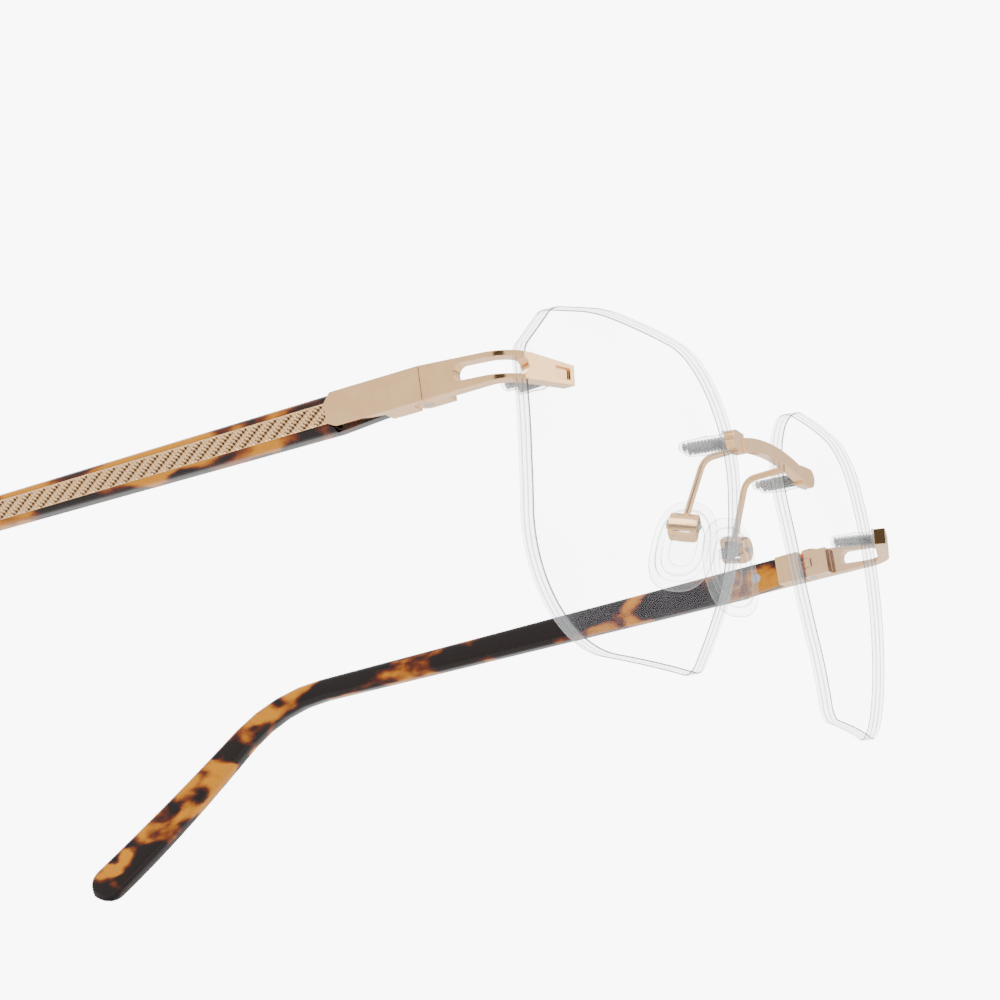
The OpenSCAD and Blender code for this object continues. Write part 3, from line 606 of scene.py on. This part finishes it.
# Rings of a face, as shares of the outline.
FACE_SHARES = (0.04, 0.2, 0.4, 0.6, 0.78, 0.9, 0.97)
# The bevel between a face and the edge: how far in from the outline, and how deep.
LENS_BEVEL, BEVEL_PUSH = 0.22 * MM, 0.154 * MM
EDGE_STEPS = 8
HOLE_SIDES, HOLE_REACH = 32, 4 * MM


def lens_mesh(layout, outline):
    """Rings of one lens from the middle of its front round its edge to its back."""
    p = layout.p
    rings, depths = [], []

    def ring(share, back, inset=0.0, push=0.0):
        """One ring, drawn in from the outline by inset and into the lens by push."""
        reach = np.linalg.norm(outline, axis=1, keepdims=True)
        flat = outline * share * (1 - inset / reach)
        u, v = flat[:, 0], flat[:, 1]
        front = layout.sag(u, v)
        rear = layout.sag(u, v, p.lens_r - p.lens_t)
        y = front + push if not back else rear - push
        rings.append(np.stack([u, y, v], axis=1))
        depths.append((y - front) / (rear - front))

    for share in FACE_SHARES:
        ring(share, False)
    ring(1, False, LENS_BEVEL)
    edge_from = len(rings) - 1
    for k in range(EDGE_STEPS):
        ring(1, False, 0, BEVEL_PUSH + (p.lens_t - 2 * BEVEL_PUSH) * k / EDGE_STEPS)
    ring(1, True, 0, BEVEL_PUSH)
    ring(1, True, LENS_BEVEL)
    edge_to = len(rings) - 1
    for share in reversed(FACE_SHARES):
        ring(share, True)
    points, faces = rings_to_mesh([[tuple(q) for q in r] for r in rings])
    n = len(outline)
    on_edge = [edge_from * n <= f[0] < edge_to * n and len(f) == 4 for f in faces]
    return points, faces, on_edge, np.concatenate(depths)


def drill(piece, spots, radius):
    """Cuts round holes through a piece, each along the Y axis of its spot."""
    for spot in spots:
        ends = (-HOLE_REACH, radius), (HOLE_REACH, radius)
        points, faces = rings_to_mesh(lathe(ends, spot, HOLE_SIDES))
        if spot.determinant() < 0:
            faces = [tuple(reversed(f)) for f in faces]
        mesh = bpy.data.meshes.new("drill")
        mesh.from_pydata(points, [], faces)
        cutter = bpy.data.objects.new("drill", mesh)
        bpy.context.scene.collection.objects.link(cutter)
        cut = piece.modifiers.new("hole", "BOOLEAN")
        cut.object, cut.operation, cut.solver = cutter, "DIFFERENCE", "EXACT"
        bpy.context.view_layer.update()
        graph = bpy.context.evaluated_depsgraph_get()
        piece.data = bpy.data.meshes.new_from_object(piece.evaluated_get(graph))
        piece.modifiers.clear()
        bpy.data.objects.remove(cutter)


def hole_spots(layout, side, u):
    """The frames of the two holes of a pair."""
    half = layout.p.hole_pitch / 2
    return [layout.mount(side, u) @ shift(k * half, 0, 0) for k in (-1, 1)]


def joined(groups):
    """Several sets of points and faces as one."""
    points, faces = [], []
    for more, sides in groups:
        faces += [tuple(i + len(points) for i in f) for f in sides]
        points += more
    return points, faces


PIN_FRONT, RIBS_FROM = -0.5 * MM, -0.4 * MM
# One rib as (share of the pitch, share of the pin's radius).
RIB_PROFILE = ((0.0, 1.0), (0.35, 1.0), (0.5, 0.6), (0.85, 0.6))
# The chamfered end of a pin as (distance before its end, share of its radius).
PIN_END = ((0.15 * MM, 1.0), (0.02 * MM, 0.6))


def ribbed(p):
    """The profile of a ribbed pin with chamfered ends."""
    profile, y = [(PIN_FRONT, p.pin_r * 0.8)], RIBS_FROM
    while y < p.pin_back - p.rib:
        profile += [(y + share * p.rib, p.pin_r * radius) for share, radius in RIB_PROFILE]
        y += p.rib
    return profile + [(p.pin_back - before, p.pin_r * radius) for before, radius in PIN_END]


def tube(line, radius, sides=20):
    """Rings of a round wire along a line of points, each square to the line."""
    points = [Vector(q) for q in line]
    rings, side = [], Vector((1, 0, 0))
    for i, q in enumerate(points):
        way = (points[min(i + 1, len(points) - 1)] - points[max(i - 1, 0)]).normalized()
        side = (side - way * side.dot(way)).normalized()
        other = way.cross(side)
        rings.append([
            tuple(q + radius * (math.cos(a) * side + math.sin(a) * other))
            for a in np.linspace(0, math.tau, sides, endpoint=False)
        ])
    return rings


ARM_STEPS, BEND_STEPS = 4, 12


def arm_line(layout):
    """The route of a pad arm: back from the bridge, then down to the pad box."""
    start, corner = layout.ARM_START, layout.ARM_CORNER
    end = layout.PAD_AT + layout.pad_turn() @ layout.ARM_TOP
    before = corner + (start - corner).normalized() * layout.ARM_BEND
    after = corner + (end - corner).normalized() * layout.ARM_BEND
    line = [start.lerp(before, k / ARM_STEPS) for k in range(ARM_STEPS)]
    for t in np.linspace(0, 1, BEND_STEPS + 1):
        line.append(before * (1 - t) ** 2 + corner * 2 * t * (1 - t) + after * t * t)
    return line + [after.lerp(end, k / ARM_STEPS) for k in range(1, ARM_STEPS + 1)]


PAD_SIDES, PAD_SQUARENESS = 72, 2.5
# Rings of a pad's face, as shares of the outline.
PAD_FACE = (0.03, 0.25, 0.5, 0.7)
# The round edge of a pad: its rings, its last angle in degrees, and how far it draws in.
PAD_EDGE_STEPS, PAD_EDGE_END, PAD_EDGE_IN = 11, 80, 0.15
# Rings of a pad's back, as (share of the outline, share of half the thickness, darkness of a line of
# painted shade at a step).
PAD_BACK = (
    (0.83, 1.0, 0.0), (0.81, 1.0, 0.5), (0.79, 0.62, 0.5), (0.77, 0.6, 0.0), (0.66, 0.55, 0.0),
    (0.64, 0.6, 0.4), (0.62, 0.95, 0.4), (0.60, 1.0, 0.0), (0.44, 1.0, 0.0), (0.42, 0.95, 0.4),
    (0.40, 0.6, 0.4), (0.38, 0.5, 0.0), (0.28, 0.5, 0.0), (0.03, 0.5, 0.0),
)


def pad_rings(p):
    """Rings of a nose pad, with a value for each point that is above 0 on a line of painted shade."""
    angles = np.linspace(0, math.tau, PAD_SIDES, endpoint=False)
    round_r = p.pad_t / 2

    def squared(wave, size):
        """One coordinate of an oval that is squarer than an ellipse."""
        return np.sign(wave) * np.abs(wave) ** (2 / PAD_SQUARENESS) * size / 2

    oval = np.stack([squared(np.cos(angles), p.pad_w), squared(np.sin(angles), p.pad_h)], axis=1)

    def ring(share, lift):
        """One ring, with its lift measured from the pad's middle layer towards the box."""
        flat = oval * share
        curve = p.pad_r - np.sqrt(p.pad_r ** 2 - flat[:, 0] ** 2 - flat[:, 1] ** 2)
        return [(c + lift, y, z) for c, (y, z) in zip(curve, flat)]

    rings = [ring(share, -round_r) for share in PAD_FACE]
    for a in np.radians(np.linspace(-PAD_EDGE_END, PAD_EDGE_END, PAD_EDGE_STEPS)):
        rings.append(ring(1 - PAD_EDGE_IN * (1 - math.cos(a)), round_r * math.sin(a)))
    lines = [0.0] * len(rings) + [line for _, _, line in PAD_BACK]
    rings += [ring(share, round_r * lift) for share, lift, _ in PAD_BACK]
    return rings, np.repeat(lines, len(oval))


# The grid of an inlay: its step along the temple, and its points across.
ROPE_STEP, ROPE_ACROSS = 0.12 * MM, 27
STRAND_LEAN, STRAND_ROUNDNESS = math.radians(52), 0.55
ROPE_BORDER = 0.16 * MM
# Depths below the inlay's face: of its grooves, its strands and its skirt.
ROPE_GROOVE, ROPE_SINK, ROPE_SKIRT = 0.36 * MM, 0.02 * MM, 0.7 * MM
# The depth added inside the border to the stored depth that deepens the painted groove shade, and the
# least squared width at the round end.
BORDER_DEPTH, TIP_WIDTH = 0.1, 0.004


def rope_mesh(p):
    """The inlay as a grid of diagonal strands inside a smooth border, with a skirt round it."""
    along = np.arange(p.inlay_from, p.inlay_to, ROPE_STEP)
    across = np.linspace(-1, 1, ROPE_ACROSS)
    half = p.inlay_h / 2
    points, faces, depths, uvs = [], [], [], []
    lean = math.tan(STRAND_LEAN)

    def point(out, s, h, depth):
        points.append((out, s, h + p.inlay_z))
        depths.append(depth)
        uvs.append((s / MM, h / MM))

    for s in along:
        left = (p.inlay_to - s) / half
        width = half * (1 if left >= 1 else math.sqrt(max(TIP_WIDTH, 1 - (1 - left) ** 2)))
        for t in across:
            h = t * width
            strand = abs(math.sin(math.pi * (s + h * lean) / p.strand)) ** STRAND_ROUNDNESS
            rim = min(1.0, max(0.0, (1 - abs(t)) * half / ROPE_BORDER - 0.5))
            depth = rim * (1 - strand)
            out = p.inlay_out - ROPE_GROOVE * depth - ROPE_SINK * rim
            point(out, s, h, depth + BORDER_DEPTH * rim)
    wide = len(across)
    for i in range(len(along) - 1):
        for k in range(wide - 1):
            a = i * wide + k
            faces.append((a, a + wide, a + wide + 1, a + 1))
    last = (len(along) - 1) * wide
    rim_line = [
        *range(wide),
        *range(2 * wide - 1, last + wide, wide),
        *range(last + wide - 2, last - 1, -1),
        *range(last - wide, 0, -wide),
    ]
    skirt = len(points)
    for k in rim_line:
        _, s, h = points[k]
        # The skirt stores the full depth, so it is painted in full shade.
        point(p.inlay_out - ROPE_SKIRT, s, h - p.inlay_z, 1.0)
    for k in range(len(rim_line)):
        following = (k + 1) % len(rim_line)
        faces.append((rim_line[following], rim_line[k], skirt + k, skirt + following))
    return points, faces, depths, uvs


# ---- Operators


class PieceOperator:
    """What the operators that make pieces share."""

    bl_options = {"REGISTER", "UNDO"}

    def start(self, context):
        """The layout for the scene's sizes, and its colours."""
        scene = context.scene
        return Layout(scene.eyeglass_sizes), scene.eyeglass_colours


def finish_named(name, make):
    """A material made once and then shared."""
    return bpy.data.materials.get(name) or make()


def gold(colours):
    return finish_named("plated_gold", lambda: gold_finish("plated_gold", colours, colours.grain))


def steel(colours):
    return finish_named("steel", lambda: steel_finish(colours))


class EYEGLASS_OT_lenses(PieceOperator, bpy.types.Operator):
    """Builds the two drilled lenses with their bevelled, ground edges"""

    bl_idname = "eyeglass.lenses"
    bl_label = "Lenses"

    def execute(self, context):
        layout, colours = self.start(context)
        p = layout.p
        corners = [(x * p.lens_w / 2, z * p.lens_h / 2, r * MM) for x, z, r in LENS_CORNERS]
        outline = even(rounded(corners, CORNER_STEPS), OUTLINE_POINTS)
        points, faces, on_edge, depths = lens_mesh(layout, outline)
        face = lens_finish(colours)
        edge = edge_finish(colours)
        for side, name in SIDES.items():
            lens = build(
                f"lens_{name}_clear", points, faces, layout.lens(side), face, "front", "lens",
                25, f"lens_{name}",
            )
            with_attribute(lens, "depth", depths)
            lens.data.materials.append(edge)
            lens.data.polygons.foreach_set("material_index", [int(e) for e in on_edge])
            for u in (layout.BRIDGE_U, layout.END_U):
                drill(lens, hole_spots(layout, side, u), p.hole_r)
        return {"FINISHED"}


class EYEGLASS_OT_mounts(PieceOperator, bpy.types.Operator):
    """Builds the ribbed pins and finishes the clear sleeves that hold them in the lenses"""

    bl_idname = "eyeglass.mounts"
    bl_label = "Pins and sleeves"

    def execute(self, context):
        layout, colours = self.start(context)
        sleeve = clear_finish("clear_sleeve", colours.clear, colours.outline, 0.12, 0.06)
        profile = ribbed(layout.p)
        half = layout.p.hole_pitch / 2
        pair = joined([rings_to_mesh(lathe(profile, shift(k, 0, 0))) for k in (-half, half)])
        for side, name in SIDES.items():
            for place, u in (("bridge", layout.BRIDGE_U), ("end", layout.END_U)):
                build(
                    f"{place}_pins_{name}_ribbed", *pair, layout.mount(side, u), steel(colours),
                    "front", "steel", 30, f"{place}_pins_{name}",
                )
                dress(f"{place}_plug_{name}", sleeve)
        return {"FINISHED"}


class EYEGLASS_OT_metal(PieceOperator, bpy.types.Operator):
    """Finishes the bridge, the end pieces and the hinge screws"""

    bl_idname = "eyeglass.metal"
    bl_label = "Bridge and end pieces"

    def execute(self, context):
        _, colours = self.start(context)
        dress("bridge", gold(colours))
        for name in SIDES.values():
            dress(f"end_piece_{name}", gold(colours))
            dress(f"hinge_screw_{name}", steel(colours))
        return {"FINISHED"}


class EYEGLASS_OT_nose_pads(PieceOperator, bpy.types.Operator):
    """Builds the wire arms and moulded pads, and finishes their boxes, cores and screws"""

    bl_idname = "eyeglass.nose_pads"
    bl_label = "Nose pads"

    def execute(self, context):
        layout, colours = self.start(context)
        pad = clear_finish("clear_pad", colours.pad, colours.outline, 0.08, 0.12)
        core = clear_finish("clear_core", colours.clear, colours.outline, 0.30, 0.2)
        rings, lines = pad_rings(layout.p)
        points, faces = rings_to_mesh(rings)
        wire = rings_to_mesh(tube(arm_line(layout), layout.p.arm_r))
        for side, name in SIDES.items():
            moulded = build(
                f"nose_pad_{name}_moulded", points, faces, layout.pad(side), pad,
                f"nose_pad_{name}", "clear_pad", 50, f"nose_pad_{name}",
            )
            # The lines of painted shade at the steps of the pad's back.
            with_attribute(moulded, "line", lines)
            build(
                f"pad_arm_{name}_wire", *wire, mirrored(side, layout.stand), gold(colours),
                "front", "gold_metal", 40, f"pad_arm_{name}",
            )
            dress(f"pad_box_{name}", gold(colours))
            dress(f"pad_screw_{name}", steel(colours))
            dress(f"pad_core_{name}", core)
        return {"FINISHED"}


class EYEGLASS_OT_temples(PieceOperator, bpy.types.Operator):
    """Finishes the temples' plates, collars, acetate, core wires and screws"""

    bl_idname = "eyeglass.temples"
    bl_label = "Temples"

    def execute(self, context):
        _, colours = self.start(context)
        acetate = acetate_finish(colours)
        for name in SIDES.values():
            dress(f"temple_acetate_{name}", acetate)
            dress(f"temple_plate_{name}", gold(colours))
            dress(f"temple_collar_{name}", gold(colours))
            dress(f"temple_core_{name}", steel(colours))
            dress(f"temple_screw_{name}", steel(colours))
        return {"FINISHED"}


class EYEGLASS_OT_inlays(PieceOperator, bpy.types.Operator):
    """Builds the twisted metal inlay of each temple"""

    bl_idname = "eyeglass.inlays"
    bl_label = "Rope inlays"

    def execute(self, context):
        layout, colours = self.start(context)
        points, faces, depths, uvs = rope_mesh(layout.p)
        rope = rope_finish(colours)
        for side, name in SIDES.items():
            inlay = build(
                f"temple_inlay_{name}_rope", points, faces, layout.temple(side), rope,
                f"temple_{name}", "rope_metal", 60, f"temple_inlay_{name}",
            )
            with_attribute(inlay, "depth", depths)
            layer = inlay.data.uv_layers.new(name="run")
            for loop in inlay.data.loops:
                layer.data[loop.index].uv = uvs[loop.vertex_index]
        return {"FINISHED"}


class EYEGLASS_OT_stage(PieceOperator, bpy.types.Operator):
    """Adds the pale floor, the soft lights and the camera"""

    bl_idname = "eyeglass.stage"
    bl_label = "Stage"

    AZIMUTH, ELEVATION, ROLL = -63.12, -13.91, -3.28
    DISTANCE = 326.6 * MM
    TARGET = Vector((-84.93, 0, -11.23)) * MM
    LENS, SENSOR, NEAREST = 100.37, 36, 0.01
    FLOOR_REACH, FLOOR_GAP = 4.0, 0.2 * MM
    # Lamps, each as (name, place, size, watts).
    LIGHTS = (
        ("key", (-0.55, -0.25, 0.75), 0.7, 5.0),
        ("fill", (0.35, -0.8, 0.35), 0.6, 2.5),
        ("rim", (0.3, 0.7, 0.6), 0.5, 3.0),
    )
    # Dark patches of the dome, each as (direction, cosines at its rim and core, brightness left).
    SHADES = (
        ((-0.90, -0.34, 0.24), 0.935, 0.985, 0.08),
        ((0.30, -0.90, -0.30), 0.80, 0.96, 0.15),
        ((-0.30, 0.55, -0.78), 0.86, 0.97, 0.20),
    )
    BACKDROP, DOME = 9.0, 1.05
    # DOME multiplies a level that is DOME_LEVEL at the horizon and DOME_SLOPE more at the top.
    DOME_SLOPE, DOME_LEVEL = 0.45, 1.15

    def execute(self, context):
        layout, colours = self.start(context)
        scene = context.scene
        self.floor(scene, colours)
        self.world(scene)
        for name, at, size, energy in self.LIGHTS:
            self.light(scene, name, Vector(at), size, energy)
        self.camera(scene, layout)
        return {"FINISHED"}

    def floor(self, scene, colours):
        reach = self.FLOOR_REACH
        mesh = bpy.data.meshes.new("floor")
        corners = [(-reach, -reach, 0), (reach, -reach, 0), (reach, reach, 0), (-reach, reach, 0)]
        mesh.from_pydata(corners, [], [(0, 1, 2, 3)])
        mesh.materials.append(floor_finish(colours))
        floor = bpy.data.objects.new("floor", mesh)
        floor.location.z = -self.FLOOR_GAP
        scene.collection.objects.link(floor)

    def world(self, scene):
        """A white backdrop behind everything, and a dome with dark patches that lights it."""
        world = bpy.data.worlds.new("studio")
        world.use_nodes = True
        tree = world.node_tree
        tree.nodes.clear()

        def node(kind, *inputs, **settings):
            made = tree.nodes.new("ShaderNode" + kind)
            for key, value in settings.items():
                setattr(made, key, value)
            for key, value in enumerate(inputs):
                if isinstance(value, bpy.types.NodeSocket):
                    tree.links.new(value, made.inputs[key])
                elif value is not None:
                    made.inputs[key].default_value = value
            return made

        way = node("TexCoord").outputs["Generated"]
        height = node("SeparateXYZ", way).outputs[2]
        ramp = node("Math", height, self.DOME_SLOPE, self.DOME_LEVEL, operation="MULTIPLY_ADD")
        level = ramp.outputs[0]
        for toward, rim, core, least in self.SHADES:
            centre = Vector(toward).normalized()
            dot = node("VectorMath", way, centre, operation="DOT_PRODUCT").outputs[1]
            shade = node("MapRange", dot, rim, core, 1.0, least, interpolation_type="SMOOTHSTEP")
            level = node("Math", level, shade.outputs[0], operation="MULTIPLY").outputs[0]
        strength = node("Math", level, self.DOME, operation="MULTIPLY")
        light = node("Background", (1, 1, 1, 1), strength.outputs[0])
        backdrop = node("Background", (1, 1, 1, 1), self.BACKDROP)
        seen = node("LightPath").outputs["Is Camera Ray"]
        both = node("MixShader", seen, light.outputs[0], backdrop.outputs[0])
        node("OutputWorld", both.outputs[0])
        scene.world = world

    def light(self, scene, name, at, size, energy):
        lamp = bpy.data.lights.new(name, "AREA")
        lamp.size, lamp.energy = size, energy
        light = bpy.data.objects.new(name, lamp)
        light.location = at
        light.rotation_euler = (-at).to_track_quat("-Z", "Y").to_euler()
        scene.collection.objects.link(light)

    def camera(self, scene, layout):
        a, e, r = (math.radians(x) for x in (self.AZIMUTH, self.ELEVATION, self.ROLL))
        back = Vector((math.sin(a) * math.cos(e), -math.cos(a) * math.cos(e), math.sin(e)))
        right = Vector((math.cos(a), math.sin(a), 0))
        up = back.cross(right)
        across = math.cos(r) * right + math.sin(r) * up
        rise = math.cos(r) * up - math.sin(r) * right
        local = Matrix((across, rise, back)).transposed().to_4x4()
        local.translation = self.TARGET + back * self.DISTANCE
        lens = bpy.data.cameras.new("camera")
        lens.lens, lens.sensor_width, lens.sensor_fit = self.LENS, self.SENSOR, "HORIZONTAL"
        lens.clip_start = self.NEAREST
        camera = bpy.data.objects.new("camera", lens)
        camera.matrix_world = layout.stand @ local
        scene.collection.objects.link(camera)
        scene.camera = camera


class EYEGLASS_PT_panel(bpy.types.Panel):
    """Lists the pieces of the eyeglasses"""

    bl_label = "Rimless eyeglasses"
    bl_idname = "EYEGLASS_PT_panel"
    bl_space_type = "VIEW_3D"
    bl_region_type = "UI"
    bl_category = "Eyeglasses"

    def draw(self, context):
        for operator in OPERATORS:
            self.layout.operator(operator.bl_idname)
        for group in (context.scene.eyeglass_sizes, context.scene.eyeglass_colours):
            box = self.layout.box()
            for name in group.bl_rna.properties.keys():
                if name not in ("rna_type", "name"):
                    box.prop(group, name)


GROUPS = {"eyeglass_sizes": EyeglassSizes, "eyeglass_colours": EyeglassColours}
OPERATORS = (
    EYEGLASS_OT_lenses,
    EYEGLASS_OT_mounts,
    EYEGLASS_OT_metal,
    EYEGLASS_OT_nose_pads,
    EYEGLASS_OT_temples,
    EYEGLASS_OT_inlays,
    EYEGLASS_OT_stage,
)
CLASSES = (*GROUPS.values(), *OPERATORS, EYEGLASS_PT_panel)


def register():
    for item in CLASSES:
        bpy.utils.register_class(item)
    for name, group in GROUPS.items():
        setattr(bpy.types.Scene, name, PointerProperty(type=group))


def unregister():
    for name in GROUPS:
        delattr(bpy.types.Scene, name)
    for item in reversed(CLASSES):
        bpy.utils.unregister_class(item)


def main():
    register()
    for operator in OPERATORS:
        group, name = operator.bl_idname.split(".")
        getattr(getattr(bpy.ops, group), name)()


if __name__ == "__main__":
    main()
